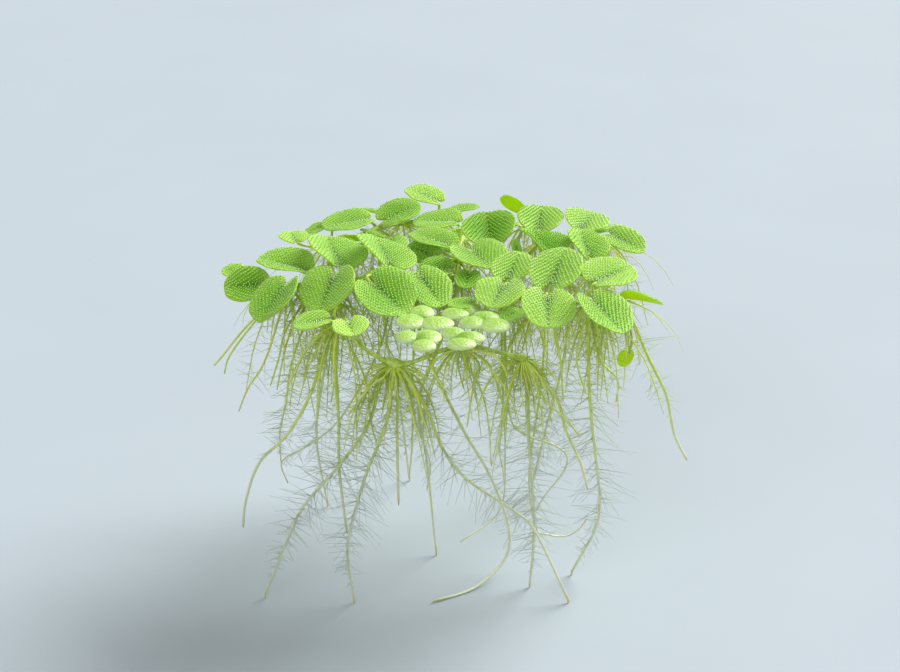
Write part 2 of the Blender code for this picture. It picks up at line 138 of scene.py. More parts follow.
# How pale a leaf is, from 0, a deep green, to 1, a young yellow-green
USUAL_PALENESS = 0.38
PALENESS = {
    "leaf_01": 0.12, "leaf_02": 0.21, "leaf_04": 0.47, "leaf_05": 0.47, "leaf_06": 0.47, "leaf_07": 0.21,
    "leaf_08": 0.47, "leaf_09": 0.12, "leaf_12": 0.56, "leaf_13": 0.74, "leaf_14": 0.56, "leaf_15": 0.74,
    "leaf_16": 0.74, "leaf_18": 0.65, "leaf_19": 0.0, "leaf_20": 0.0, "leaf_21": 0.56,
    "leaf_22": 0.74, "leaf_24": 0.56, "leaf_27": 0.82, "leaf_28": 0.47, "leaf_29": 0.0,
    "leaf_30": 0.21, "leaf_33": 0.65, "leaf_34": 1.0, "young_03": 0.82, "young_04": 0.82,
    "young_05": 0.65, "young_06": 0.91, "young_07": 1.0, "young_10": 0.82, "young_11": 0.91, "young_12": 0.82,
    "young_13": 1.0, "young_16": 1.0, "young_17": 0.56, "young_18": 0.47, "young_19": 0.65,
}

Frond = namedtuple("Frond", "x y heading length width")

# Duckweed: the fronds of each plant, grown together at their edges and level with the runners
DUCKWEED = {
    "duckweed_1": [
        Frond(-5.2, -23.2, 80, 6.2, 5.2), Frond(-3, -18.9, 90, 5.8, 4.4), Frond(0.2, -24.1, 0, 7, 4.8),
    ],
    "duckweed_2": [
        Frond(-5.8, -30.4, 10, 4.8, 4.2), Frond(-1.6, -30.4, 30, 5.6, 5), Frond(-2.4, -34.4, 0, 5, 4),
    ],
    "duckweed_3": [
        Frond(3.5, -28.7, -20, 4.8, 3.8), Frond(6.8, -30.6, -10, 6, 3.9), Frond(5, -33.6, 0, 6, 3.8),
    ],
    "duckweed_4": [
        Frond(7.4, -23.8, 80, 5, 4.6), Frond(10.2, -21, 30, 5.6, 4.8), Frond(11.8, -25, -15, 6.6, 5),
    ],
    "duckweed_5": [Frond(3.9, -19.6, -5, 5.8, 3.8), Frond(6.9, -17.8, 20, 4.2, 3)],
}

Root = namedtuple("Root", "runner whorl hairs route")

# The main strands. hairs is how hairy one is, and a last height of -ROOT_REACH stands on the surface.
ROOTS = {
    "root_01": Root("runner_low_front", 2, 1.0, [
        (-11.5, -27, -12.5), (-14, -26, -22), (-20, -25.5, -31.5), (-28, -25, -42), (-32, -24.5, -51),
        (-37.3, -24, -66),
    ]),
    "root_02": Root("runner_low_front", 2, 1.0, [
        (-9.2, -28.8, -13), (-10.6, -27.5, -22), (-14.7, -26.5, -33.5), (-18.4, -26.5, -47.5),
        (-19, -26, -55), (-18, -26, -66),
    ]),
    "root_03": Root("runner_low_front", 1, 0.2, [
        (-23.3, -20.7, -8.5), (-26, -21.7, -17), (-31, -21.5, -26.5), (-37.5, -21, -34),
        (-40.8, -20.5, -43.5), (-41.8, -20, -50.5),
    ]),
    "root_04": Root("runner_low_front", 1, 0.6, [
        (-20.8, -24.6, -7.5), (-20.3, -24, -20), (-20.4, -24, -34), (-19.2, -24, -49.5),
    ]),
    "root_05": Root("runner_low_front", 2, 0.5, [(-8, -23.2, -13), (-8.2, -24, -26), (-8.1, -24, -42.5)]),
    "root_06": Root("runner_low_front", 2, 0.7, [
        (-5.3, -27, -12), (-1.5, -27, -19), (1, -27, -26.5), (6, -26.6, -34.5), (17, -26.5, -43),
        (21, -26.3, -48), (28.3, -26, -66),
    ]),
    "root_07": Root("runner_front_right", 0, 0.3, [
        (40.5, -13.5, -4), (44.4, -13, -13), (48.6, -12.6, -22), (51, -12.2, -32), (54.1, -12, -38.5),
    ]),
    "root_08": Root("runner_front_right", 1, 1.0, [
        (31.5, -18, -10.5), (32.1, -17.6, -21), (34.5, -16.7, -39.5), (35.2, -16.3, -47.5),
        (34.2, -16, -54), (29.7, -15, -66),
    ]),
    "root_09": Root("runner_low_front", 4, 0.9, [
        (18.8, -21.6, -13.5), (19.3, -21.5, -28), (20.8, -20.7, -47), (20.8, -20.3, -56), (20.2, -20, -66),
    ]),
    "root_10": Root("runner_low_front", 4, 0.5, [
        (20.8, -24, -11.5), (25, -23, -18), (27, -22.4, -25.5), (30.3, -22, -33.5), (32, -22, -40),
    ]),
    "root_11": Root("runner_front_left", 5, 0.4, [
        (1, -2, -14), (-4, -2.5, -29), (-2.3, -3.5, -44), (-0.3, -7, -66),
    ]),
    "root_12": Root("runner_front_left", 4, 0.3, [
        (-3.2, -7, -12), (4.9, -10, -30.5), (11.5, -11.6, -42.5), (15.5, -13, -54), (15, -15, -61.5),
        (8, -21, -65.4), (-1, -26, -65.5),
    ]),
    "root_13": Root("runner_back_left", 0, 0.8, [(-25, 15, -24), (-28, 14, -46), (-26, 14, -66)]),
    "root_14": Root("runner_back_left", 1, 0.8, [(-12, 22, -24), (-9, 24, -44), (-7, 26, -66)]),
    "root_15": Root("runner_back_right", 1, 0.8, [(29, 17, -26), (25, 18, -48), (22, 20, -66)]),
}

# Thinner strands that show one by one, which have no solid of their own
THIN_ROOTS = [
    Root("runner_front_left", 0, 0.2, [(-35.8, -14, -12.8), (-39.9, -14, -19.9), (-42.1, -14, -25.4)]),
    Root("runner_front_left", 1, 0.9, [
        (-30.3, -12, -13.8), (-32.2, -12, -24.3), (-33.8, -12, -31.8), (-33.8, -12, -39.2),
    ]),
    Root("runner_front_left", 1, 0.0, [(-31.5, -9, -8), (-33.5, -10, -14.8), (-35.6, -10, -21.5)]),
    Root("runner_front_left", 1, 0.0, [(-30.5, -11, -8), (-32.4, -12, -13.8), (-34, -12, -21.4)]),
    Root("runner_front_left", 0, 0.0, [(-39, -15, -4.5), (-44, -19, -9.5), (-45.9, -20, -11.5)]),
    Root("runner_front_left", 0, 0.0, [(-38, -10, -6), (-43.5, -12, -13), (-45, -12, -17.5)]),
    Root("runner_low_front", 1, 0.0, [(-20.5, -20, -10.9), (-22, -20, -20)]),
    Root("runner_front_left", 3, 0.5, [
        (-12, -5, -14), (-21, -5, -31.7), (-28.8, -4, -39.4), (-33.6, -3, -42.9), (-34.8, -2, -45.9),
        (-33.7, 0, -51.3),
    ]),
    Root("runner_low_front", 1, 0.3, [
        (-16.1, -18, -11.9), (-14.4, -18, -18.2), (-13.9, -18, -25.4), (-12.7, -18, -31.4),
    ]),
    Root("runner_low_front", 2, 0.0, [(-10.6, -28, -10), (-13.2, -28.5, -11.8), (-18, -29, -18.2)]),
    Root("runner_low_front", 2, 0.4, [
        (-6.7, -23, -12.6), (-5.1, -22.7, -18.6), (-5.2, -22.3, -29.4), (-5.9, -22, -36.9),
    ]),
    Root("runner_front_left", 4, 0.3, [
        (-5, -7, -14), (-5.1, -6, -29.7), (-1.7, -4.5, -43), (-2.4, -3, -51.4),
    ]),
    Root("runner_low_front", 3, 0.0, [(-0.8, -29, -6.5), (1.8, -30, -12.2)]),
    Root("runner_front_right", 4, 0.2, [(14, -3, -20), (15, -4, -42), (13.8, -4, -56.2), (5, -10, -60.6)]),
    Root("runner_low_front", 4, 0.0, [
        (19.8, -24.6, -10.9), (22.7, -25, -17.4), (26.5, -25, -20.9), (29.7, -25, -25.6),
    ]),
    Root("runner_front_right", 3, 0.4, [
        (14.5, -13, -14), (15.8, -14, -27.5), (19.7, -14, -31.4), (25.1, -14, -33.6), (27.9, -14, -36.3),
        (27.2, -14, -40.3), (23.4, -14, -46.1), (21.5, -14, -50.1),
    ]),
    Root("runner_front_right", 2, 0.2, [
        (22, -13, -20), (20, -12, -42), (21.7, -12, -55.5), (24.2, -11.5, -57.6), (28.3, -11, -58.4),
        (31.3, -10.5, -56.9), (33.1, -10, -54.4),
    ]),
    Root("runner_front_right", 2, 0.0, [(25.3, -21, -8.5), (26.2, -22, -18.9)]),
    Root("runner_front_right", 1, 0.2, [(28.9, -20, -9.5), (31, -20, -18.1)]),
    Root("runner_front_right", 1, 0.4, [(34.2, -12, -13.5), (38.3, -11, -19.3), (38.4, -10, -25.3)]),
    Root("runner_low_front", 3, 0.0, [
        (9.5, -27.5, -4.6), (11.8, -28, -5.3), (13.6, -28, -7.8), (14.4, -28, -10),
    ]),
    Root("runner_low_front", 3, 0.0, [(4.4, -22.4, -9.9), (5.7, -22, -16.1)]),
    Root("runner_low_front", 3, 0.2, [(8.7, -22.4, -9.9), (7.7, -21.5, -14.8), (6.3, -21, -25.4)]),
    Root("runner_low_front", 3, 0.4, [
        (5.6, -21.6, -9), (9.2, -20.7, -16.8), (10.9, -20.3, -25.5), (11.5, -20, -35.1),
    ]),
    Root("runner_low_front", 3, 0.2, [(10.5, -24, -8.9), (13.3, -24, -17.2), (14.4, -24, -22.6)]),
    Root("runner_front_right", 3, 0.4, [
        (14.2, -12, -15), (13.9, -12, -30.1), (13.4, -11.3, -35.6), (14.5, -10.7, -42.8), (14.8, -10, -47.7),
    ]),
    Root("runner_front_right", 0, 0.0, [(39.4, -14.6, -4), (40.2, -14, -11.5)]),
]


def linear(hex_colour):
    """An sRGB hex colour as the linear colour that a shader takes."""
    shares = [int(hex_colour[i : i + 2], 16) / 255 for i in (1, 3, 5)]
    return (*[s / 12.92 if s <= 0.04045 else ((s + 0.055) / 1.055) ** 2.4 for s in shares], 1.0)


def add_node(tree, kind, inputs=(), **settings):
    """Adds a node with its settings, and its inputs as values or as sockets to link."""
    made = tree.nodes.new(kind)
    for name, value in settings.items():
        setattr(made, name, value)
    for socket, value in dict(inputs).items():
        if isinstance(value, bpy.types.NodeSocket):
            tree.links.new(value, made.inputs[socket])
        else:
            made.inputs[socket].default_value = value
    return made


def new_material(name):
    """A material and its node tree, which is still empty."""
    material = bpy.data.materials.new(name)
    material.use_nodes = True
    material.node_tree.nodes.clear()
    return material, material.node_tree


def leaf_upper():
    """Upper leaf skin: waxy, with painted shade that darkens the crease along the midrib, paler outwards, a
    pale pad under each papilla.
    """
    material, tree = new_material("leaf_upper_skin")
    place = add_node(tree, "ShaderNodeTexCoord")
    tone = add_node(tree, "ShaderNodeAttribute", attribute_name="tone")
    rib = add_node(tree, "ShaderNodeAttribute", attribute_name="rib")
    edge = add_node(tree, "ShaderNodeAttribute", attribute_name="edge")
    rows = add_node(tree, "ShaderNodeAttribute", attribute_name="rows")
    steps = add_node(tree, "ShaderNodeAttribute", attribute_name="steps")
    # Blotches of about 3 mm
    blotches = add_node(tree, "ShaderNodeTexNoise", {"Vector": place.outputs["Object"], "Scale": 330.0})
    colours = {0: blotches.outputs["Fac"], 6: linear("#4f9400"), 7: linear("#78b600")}
    green = add_node(tree, "ShaderNodeMix", colours, data_type="RGBA")
    colours = {0: tone.outputs["Fac"], 6: green.outputs[2], 7: linear("#a8d846")}
    green = add_node(tree, "ShaderNodeMix", colours, data_type="RGBA")
    # Painted shade: the crease along the midrib is darkened towards #2c6a00, most near the base, where the
    # raised halves shade it
    steps_down = {0: rib.outputs["Fac"], 1: 0.45, 2: 0.05, 4: 0.85}
    painted_crease_shade = add_node(tree, "ShaderNodeMapRange", steps_down, interpolation_type="SMOOTHSTEP")
    colours = {0: painted_crease_shade.outputs[0], 6: green.outputs[2], 7: linear("#2c6a00")}
    green = add_node(tree, "ShaderNodeMix", colours, data_type="RGBA")
    # The product of the two cosines is highest at each papilla
    across = add_node(tree, "ShaderNodeMath", {0: rows.outputs["Fac"], 1: math.pi}, operation="MULTIPLY")
    across = add_node(tree, "ShaderNodeMath", {0: across.outputs[0]}, operation="COSINE")
    along = add_node(tree, "ShaderNodeMath", {0: steps.outputs["Fac"], 1: 2 * math.pi}, operation="MULTIPLY")
    along = add_node(tree, "ShaderNodeMath", {0: along.outputs[0]}, operation="COSINE")
    both = add_node(tree, "ShaderNodeMath", {0: across.outputs[0], 1: along.outputs[0]}, operation="MULTIPLY")
    steps_up = {0: both.outputs[0], 1: -0.3, 2: 1.0}
    pads = add_node(tree, "ShaderNodeMapRange", steps_up, interpolation_type="SMOOTHSTEP")
    paler = add_node(tree, "ShaderNodeMath", {0: pads.outputs[0], 1: 0.2}, operation="MULTIPLY")
    colours = {0: paler.outputs[0], 6: green.outputs[2], 7: linear("#b0de30")}
    green = add_node(tree, "ShaderNodeMix", colours, data_type="RGBA")
    steps_up = {0: edge.outputs["Fac"], 1: 0.35, 2: 1.0, 4: 0.35}
    margin = add_node(tree, "ShaderNodeMapRange", steps_up, interpolation_type="SMOOTHSTEP")
    colours = {0: margin.outputs[0], 6: green.outputs[2], 7: linear("#c4e868")}
    green = add_node(tree, "ShaderNodeMix", colours, data_type="RGBA")
    bump = add_node(tree, "ShaderNodeBump", {"Height": pads.outputs[0], "Distance": 0.1 * MM})
    surface = {
        "Base Color": green.outputs[2], "Normal": bump.outputs[0], "Roughness": 0.5,
        "Specular IOR Level": 0.2, "Sheen Weight": 0.12, "Subsurface Weight": 0.35,
        "Subsurface Scale": 0.6 * MM, "Subsurface Radius": (0.7, 1.0, 0.1),
    }
    shader = add_node(tree, "ShaderNodeBsdfPrincipled", surface)
    add_node(tree, "ShaderNodeOutputMaterial", {"Surface": shader.outputs[0]})
    return material


def leaf_lower():
    """Lower leaf skin: smoother and more yellow, because light comes through the blade."""
    material, tree = new_material("leaf_lower_skin")
    place = add_node(tree, "ShaderNodeTexCoord")
    rib = add_node(tree, "ShaderNodeAttribute", attribute_name="rib")
    edge = add_node(tree, "ShaderNodeAttribute", attribute_name="edge")
    # Blotches of about 2 mm and a felt of about 0.5 mm
    blotches = add_node(tree, "ShaderNodeTexNoise", {"Vector": place.outputs["Object"], "Scale": 450.0})
    felt = add_node(tree, "ShaderNodeTexNoise", {"Vector": place.outputs["Object"], "Scale": 2000.0})
    colours = {0: blotches.outputs["Fac"], 6: linear("#b6e000"), 7: linear("#cef00c")}
    green = add_node(tree, "ShaderNodeMix", colours, data_type="RGBA")
    steps_up = {0: edge.outputs["Fac"], 1: 0.88, 2: 1.0, 4: 0.35}
    margin = add_node(tree, "ShaderNodeMapRange", steps_up, interpolation_type="SMOOTHSTEP")
    colours = {0: margin.outputs[0], 6: green.outputs[2], 7: linear("#d6ee7c")}
    green = add_node(tree, "ShaderNodeMix", colours, data_type="RGBA")
    steps_down = {0: rib.outputs["Fac"], 1: 0.3, 2: 0.05, 4: 0.5}
    keel = add_node(tree, "ShaderNodeMapRange", steps_down, interpolation_type="SMOOTHSTEP")
    colours = {0: keel.outputs[0], 6: green.outputs[2], 7: linear("#d2e466")}
    green = add_node(tree, "ShaderNodeMix", colours, data_type="RGBA")
    bump = add_node(tree, "ShaderNodeBump", {"Height": felt.outputs["Fac"], "Distance": 0.04 * MM})
    surface = {
        "Base Color": green.outputs[2], "Normal": bump.outputs[0], "Roughness": 0.5,
        "Specular IOR Level": 0.05, "Subsurface Weight": 0.35, "Subsurface Scale": 0.6 * MM,
        "Subsurface Radius": (0.8, 1.0, 0.12),
    }
    shader = add_node(tree, "ShaderNodeBsdfPrincipled", surface)
    add_node(tree, "ShaderNodeOutputMaterial", {"Surface": shader.outputs[0]})
    return material


def papilla():
    """Papillae: waxy pegs that go from the blade's green to a whitish bead."""
    material, tree = new_material("papilla_wax")
    height = add_node(tree, "ShaderNodeAttribute", attribute_name="along")
    tone = add_node(tree, "ShaderNodeAttribute", attribute_name="tone")
    colours = {0: tone.outputs["Fac"], 6: linear("#64ac00"), 7: linear("#b8e048")}
    green = add_node(tree, "ShaderNodeMix", colours, data_type="RGBA")
    colours = {0: tone.outputs["Fac"], 6: linear("#aadc62"), 7: linear("#e2f4c4")}
    bead = add_node(tree, "ShaderNodeMix", colours, data_type="RGBA")
    steps_up = {0: height.outputs["Fac"], 1: 0.35, 2: 0.8}
    wax = add_node(tree, "ShaderNodeMapRange", steps_up, interpolation_type="SMOOTHSTEP")
    colours = {0: wax.outputs[0], 6: green.outputs[2], 7: bead.outputs[2]}
    colour = add_node(tree, "ShaderNodeMix", colours, data_type="RGBA")
    surface = {
        "Base Color": colour.outputs[2], "Roughness": 0.45, "Specular IOR Level": 0.3,
        "Subsurface Weight": 0.2, "Subsurface Scale": 0.3 * MM,
    }
    shader = add_node(tree, "ShaderNodeBsdfPrincipled", surface)
    add_node(tree, "ShaderNodeOutputMaterial", {"Surface": shader.outputs[0]})
    return material


def green_stem():
    """Runners and stalks: juicy stem, yellow-green with olive streaks."""
    material, tree = new_material("green_stem")
    place = add_node(tree, "ShaderNodeTexCoord")
    # Streaks of about 1.2 mm and a grain of about 0.3 mm
    streaks = {"Vector": place.outputs["Object"], "Scale": 830.0, "Detail": 4.0}
    streaks = add_node(tree, "ShaderNodeTexNoise", streaks)
    grain = add_node(tree, "ShaderNodeTexNoise", {"Vector": place.outputs["Object"], "Scale": 3300.0})
    share = {0: streaks.outputs["Fac"], 1: 0.35, 2: 0.65}
    share = add_node(tree, "ShaderNodeMapRange", share, interpolation_type="SMOOTHSTEP")
    colours = {0: share.outputs[0], 6: linear("#9ab62e"), 7: linear("#c2d664")}
    colour = add_node(tree, "ShaderNodeMix", colours, data_type="RGBA")
    bump = add_node(tree, "ShaderNodeBump", {"Height": grain.outputs["Fac"], "Distance": 0.03 * MM})
    surface = {
        "Base Color": colour.outputs[2], "Normal": bump.outputs[0], "Roughness": 0.4,
        "Subsurface Weight": 0.2, "Subsurface Scale": 0.5 * MM,
    }
    shader = add_node(tree, "ShaderNodeBsdfPrincipled", surface)
    add_node(tree, "ShaderNodeOutputMaterial", {"Surface": shader.outputs[0]})
    return material


def stem_hair():
    """Short brownish hairs of the runners, paler at their tips."""
    material, tree = new_material("stem_hair")
    height = add_node(tree, "ShaderNodeAttribute", attribute_name="along")
    colours = {0: height.outputs["Fac"], 6: linear("#8f8a3c"), 7: linear("#c9c79a")}
    colour = add_node(tree, "ShaderNodeMix", colours, data_type="RGBA")
    shader = add_node(tree, "ShaderNodeBsdfPrincipled", {"Base Color": colour.outputs[2], "Roughness": 0.5})
    add_node(tree, "ShaderNodeOutputMaterial", {"Surface": shader.outputs[0]})
    return material


def root_strand():
    """Root-like strands: bright yellow-green near the crown, pale grey-green further down, with a tan tip."""
    material, tree = new_material("root_strand")
    place = add_node(tree, "ShaderNodeTexCoord")
    along = add_node(tree, "ShaderNodeAttribute", attribute_name="along")
    height = add_node(tree, "ShaderNodeSeparateXYZ", {0: place.outputs["Object"]})
    # Patches of about 1.5 mm and a grain of about 0.4 mm
    patches = add_node(tree, "ShaderNodeTexNoise", {"Vector": place.outputs["Object"], "Scale": 670.0})
    grain = add_node(tree, "ShaderNodeTexNoise", {"Vector": place.outputs["Object"], "Scale": 2500.0})
    share = {0: height.outputs["Z"], 1: 0.02, 2: 0.056}
    share = add_node(tree, "ShaderNodeMapRange", share, interpolation_type="SMOOTHSTEP")
    colours = {0: share.outputs[0], 6: linear("#d4dcc0"), 7: linear("#c8dc3a")}
    colour = add_node(tree, "ShaderNodeMix", colours, data_type="RGBA")
    share = {0: patches.outputs["Fac"], 1: 0.3, 2: 0.7, 4: 0.4}
    share = add_node(tree, "ShaderNodeMapRange", share, interpolation_type="SMOOTHSTEP")
    colours = {0: share.outputs[0], 6: colour.outputs[2], 7: linear("#e2ecb4")}
    colour = add_node(tree, "ShaderNodeMix", colours, data_type="RGBA")
    share = {0: along.outputs["Fac"], 1: 0.93, 2: 1.0, 4: 0.6}
    share = add_node(tree, "ShaderNodeMapRange", share, interpolation_type="SMOOTHSTEP")
    colours = {0: share.outputs[0], 6: colour.outputs[2], 7: linear("#c2b878")}
    colour = add_node(tree, "ShaderNodeMix", colours, data_type="RGBA")
    bump = add_node(tree, "ShaderNodeBump", {"Height": grain.outputs["Fac"], "Distance": 0.03 * MM})
    surface = {
        "Base Color": colour.outputs[2], "Normal": bump.outputs[0], "Roughness": 0.35,
        "Subsurface Weight": 0.3, "Subsurface Scale": 0.4 * MM,
    }
    shader = add_node(tree, "ShaderNodeBsdfPrincipled", surface)
    add_node(tree, "ShaderNodeOutputMaterial", {"Surface": shader.outputs[0]})
    return material


def root_hair():
    """Fine, clear root hairs, grey-green, and more yellow near the crown."""
    material, tree = new_material("root_hair")
    place = add_node(tree, "ShaderNodeTexCoord")
    height = add_node(tree, "ShaderNodeSeparateXYZ", {0: place.outputs["Object"]})
    share = {0: height.outputs["Z"], 1: 0.026, 2: 0.056}
    share = add_node(tree, "ShaderNodeMapRange", share, interpolation_type="SMOOTHSTEP")
    colours = {0: share.outputs[0], 6: linear("#b4c2ac"), 7: linear("#b8ca48")}
    colour = add_node(tree, "ShaderNodeMix", colours, data_type="RGBA")
    shader = add_node(tree, "ShaderNodeBsdfPrincipled", {"Base Color": colour.outputs[2], "Roughness": 0.4})
    add_node(tree, "ShaderNodeOutputMaterial", {"Surface": shader.outputs[0]})
    return material


def frond_skin():
    """Duckweed fronds: smooth and pillowy, pale at the rim and deeper where the fronds of a plant meet."""
    material, tree = new_material("frond_skin")
    place = add_node(tree, "ShaderNodeTexCoord")
    edge = add_node(tree, "ShaderNodeAttribute", attribute_name="edge")
    meet = add_node(tree, "ShaderNodeAttribute", attribute_name="meet")
    # Blotches of about 1.6 mm and air cells of about 0.5 mm
    blotches = add_node(tree, "ShaderNodeTexNoise", {"Vector": place.outputs["Object"], "Scale": 620.0})
    cells = add_node(tree, "ShaderNodeTexVoronoi", {"Vector": place.outputs["Object"], "Scale": 2000.0})
    colours = {0: blotches.outputs["Fac"], 6: linear("#8aba38"), 7: linear("#a4c856")}
    green = add_node(tree, "ShaderNodeMix", colours, data_type="RGBA")
    share = {0: cells.outputs["Distance"], 1: 0.3, 2: 0.8, 4: 0.4}
    share = add_node(tree, "ShaderNodeMapRange", share, interpolation_type="SMOOTHSTEP")
    colours = {0: share.outputs[0], 6: green.outputs[2], 7: linear("#cee49c")}
    green = add_node(tree, "ShaderNodeMix", colours, data_type="RGBA")
    share = {0: edge.outputs["Fac"], 1: 0.6, 2: 0.95, 4: 0.7}
    share = add_node(tree, "ShaderNodeMapRange", share, interpolation_type="SMOOTHSTEP")
    colours = {0: share.outputs[0], 6: green.outputs[2], 7: linear("#d0e4a6")}
    green = add_node(tree, "ShaderNodeMix", colours, data_type="RGBA")
    share = add_node(tree, "ShaderNodeMath", {0: meet.outputs["Fac"], 1: 0.8}, operation="MULTIPLY")
    colours = {0: share.outputs[0], 6: green.outputs[2], 7: linear("#74a810")}
    green = add_node(tree, "ShaderNodeMix", colours, data_type="RGBA")
    bump = add_node(tree, "ShaderNodeBump", {"Height": cells.outputs["Distance"], "Distance": 0.1 * MM})
    surface = {
        "Base Color": green.outputs[2], "Normal": bump.outputs[0], "Roughness": 0.42,
        "Subsurface Weight": 0.3, "Subsurface Scale": 0.6 * MM, "Subsurface Radius": (0.8, 1.0, 0.3),
    }
    shader = add_node(tree, "ShaderNodeBsdfPrincipled", surface)
    add_node(tree, "ShaderNodeOutputMaterial", {"Surface": shader.outputs[0]})
    return material


def floor_paint():
    """Matt painted board, faintly mottled."""
    material, tree = new_material("matt_floor")
    place = add_node(tree, "ShaderNodeTexCoord")
    # Mottling of about 60 mm
    mottling = add_node(tree, "ShaderNodeTexNoise", {"Vector": place.outputs["Object"], "Scale": 17.0})
    colours = {0: mottling.outputs["Fac"], 6: linear("#a4aeb5"), 7: linear("#aab4bb")}
    colour = add_node(tree, "ShaderNodeMix", colours, data_type="RGBA")
    shader = add_node(tree, "ShaderNodeBsdfPrincipled", {"Base Color": colour.outputs[2], "Roughness": 0.8})
    add_node(tree, "ShaderNodeOutputMaterial", {"Surface": shader.outputs[0]})
    return material


def smooth_route(points, steps):
    """Points on a smooth curve through these points, steps to each stretch."""
    padded = [2 * points[0] - points[1], *points, 2 * points[-1] - points[-2]]
    route = []
    for before, start, end, after in zip(padded, padded[1:], padded[2:], padded[3:]):
        for step in range(steps):
            t = step / steps
            route.append(
                0.5
                * (
                    2 * start
                    + (end - before) * t
                    + (2 * before - 5 * start + 4 * end - after) * t**2
                    + (3 * start - before - 3 * end + after) * t**3
                )
            )
    return [*route, points[-1]]


def frames_along(points):
    """Two directions across the route at each of its points, carried along it without twist."""
    last = len(points) - 1
    side = None
    frames = []
    for i in range(last + 1):
        ahead = (points[min(i + 1, last)] - points[max(i - 1, 0)]).normalized()
        side = ahead.orthogonal() if side is None else side - ahead * side.dot(ahead)
        side.normalize()
        frames.append((side, ahead.cross(side), ahead))
    return frames


templates = {}  # meshes that are made once and copied


def straight_tube(sides, rings):
    """A closed tube of radius 1 from height 0 to 1, made once for each number of sides and rings."""
    if (sides, rings) not in templates:
        bm = bmesh.new()
        upright = Matrix.Translation((0, 0, 0.5))
        bmesh.ops.create_cone(
            bm, segments=sides, radius1=1, radius2=1, depth=1, cap_ends=True, matrix=upright
        )
        long_edges = [e for e in bm.edges if abs(e.verts[0].co.z - e.verts[1].co.z) > 0.5]
        if rings > 2:
            bmesh.ops.subdivide_edges(bm, edges=long_edges, cuts=rings - 2, use_grid_fill=True)
        along = bm.verts.layers.float.new("along")
        for vert in bm.verts:
            vert[along] = vert.co.z
        templates[sides, rings] = mesh_of(bm, f"tube_{sides}_{rings}")
    return templates[sides, rings]


def mesh_of(bm, name):
    """A new mesh made from bm, which is freed."""
    mesh = bpy.data.meshes.new(name)
    bm.to_mesh(mesh)
    bm.free()
    return mesh


def join(bm, mesh, slot):
    """Adds the mesh to bm in that material slot, and removes it."""
    mesh.polygons.foreach_set("material_index", [slot] * len(mesh.polygons))
    bm.from_mesh(mesh)
    bpy.data.meshes.remove(mesh)


def add_tube(bm, points, radii, sides, slot=0):
    """Bends a straight tube along the points and joins it to bm."""
    last = len(points) - 1
    tube = straight_tube(sides, last + 1).copy()
    frames = frames_along(points)
    for vert in tube.vertices:
        i = round(vert.co.z * last)
        side, up, _ = frames[i]
        vert.co = points[i] + (side * vert.co.x + up * vert.co.y) * radii[i]
    join(bm, tube, slot)


def finish_piece(name, bm, materials, nodes=()):
    """Makes the finished piece, in the row frame and in metres, riding on the clump."""
    bmesh.ops.translate(bm, verts=bm.verts, vec=ORIGIN)
    bmesh.ops.scale(bm, verts=bm.verts, vec=(MM, MM, MM))
    mesh = mesh_of(bm, name)
    for material in materials:
        mesh.materials.append(material)
    mesh.shade_smooth()
    piece = bpy.data.objects.new(name, mesh)
    bpy.context.scene.collection.objects.link(piece)
    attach(piece, "root")
    if nodes:
        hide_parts(*nodes)


# The leaf, in millimetres
BLADE_THICKNESS = 0.32
ROW_SPACING = 0.7
PAPILLA_SPACING = 0.68
PAPILLA_HEIGHT = 0.46
PAPILLA_RADIUS = 0.155
PAPILLA_SINK = 0.08  # how deep its foot is set in the blade
STALK_RADIUS = 0.34
STALK_FLARE = 0.12  # how much thicker the stalk is at its ends

# Shares of a leaf's own length or width
NOTCH = 0.16  # how far the heart-shaped base is cut in
NOTCH_WIDTH = 0.2  # in half widths of the blade
SLIT = 0.06  # a narrower cut in the middle of the notch
SLIT_WIDTH = 0.12
TIP_EASE = 0.75  # how much of the fold is gone at the tip
DROOP = 0.05  # how far the tip bends down
CURL = 0.42  # how far a half levels out towards its margin
LEAST_CURL = 0.08
CURL_LOSS = 0.03  # for each degree that the leaf is folded past CURL_FOLD
CURL_FOLD = 30
WAVE = 0.012  # of the margin
SMALL_WAVE = 0.008
MIDRIB_ROUNDING = 0.1  # in half widths of the blade
RIM_ROUNDING = 0.35  # in thicknesses of the blade
LAST_PAPILLA = 0.975  # how far out papillae grow, from 0 in the middle of the blade to 1 at its margin
STALK_START = 0.03  # how far up the midrib the stalk starts
STALK_BEND = 0.45  # how far behind the blade it bends, as a share of its own reach

ROW_SLOPE = math.tan(math.radians(35))  # how far a row runs forward as it goes out to the margin
ROW_BEND = 0.25  # how much steeper it gets on the way
OUTWARD = 0.82  # the share of a step along a row that goes outwards, the cosine of its slope
FIRST_STEP = 0.7  # the first papilla of a row stands 1 - FIRST_STEP steps off the midrib


def leaf_place(leaf):
    """Where the leaf lies and how it is turned."""
    turn = Euler([math.radians(a) for a in (leaf.pitch, leaf.roll, leaf.heading - 90)])
    return Matrix.Translation(leaf.base) @ turn.to_matrix().to_4x4()


